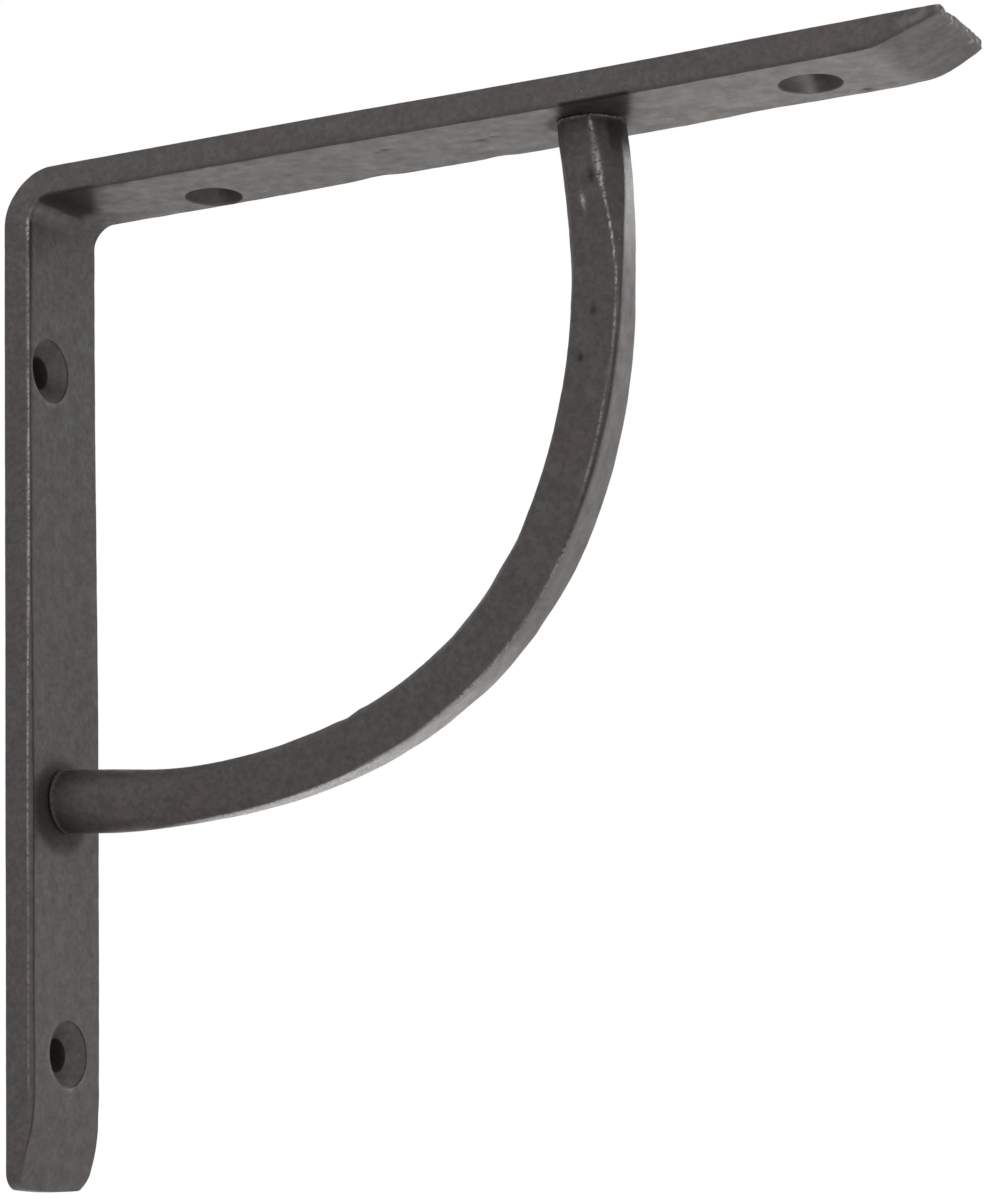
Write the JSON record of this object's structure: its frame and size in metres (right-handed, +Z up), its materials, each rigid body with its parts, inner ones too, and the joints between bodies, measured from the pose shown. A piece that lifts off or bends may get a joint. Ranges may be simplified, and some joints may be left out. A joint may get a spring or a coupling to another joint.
{
  "type": "forged iron shelf bracket",
  "caption": "Hand-forged iron shelf bracket: a flat bar bent square with a curved brace across its corner and countersunk screw holes in both legs.",
  "frame": {"origin": "on the wall face, at the middle of the bar's width and half way up the bracket", "axes": "+X away from the wall along the shelf leg, +Y along the wall, +Z up to the shelf face"},
  "size_m": [0.15, 0.0178, 0.1518],
  "materials": {
    "bar_iron": "hammered and blackened wrought iron under wax, satin, with bare metal on the worn edges",
    "brace_iron": "hammered and blackened wrought iron under wax, satin, with faceted sides"
  },
  "bodies": {
    "root": {"bent_bar": "bar_iron", "curved_brace": "brace_iron"}
  },
  "joints": []
}
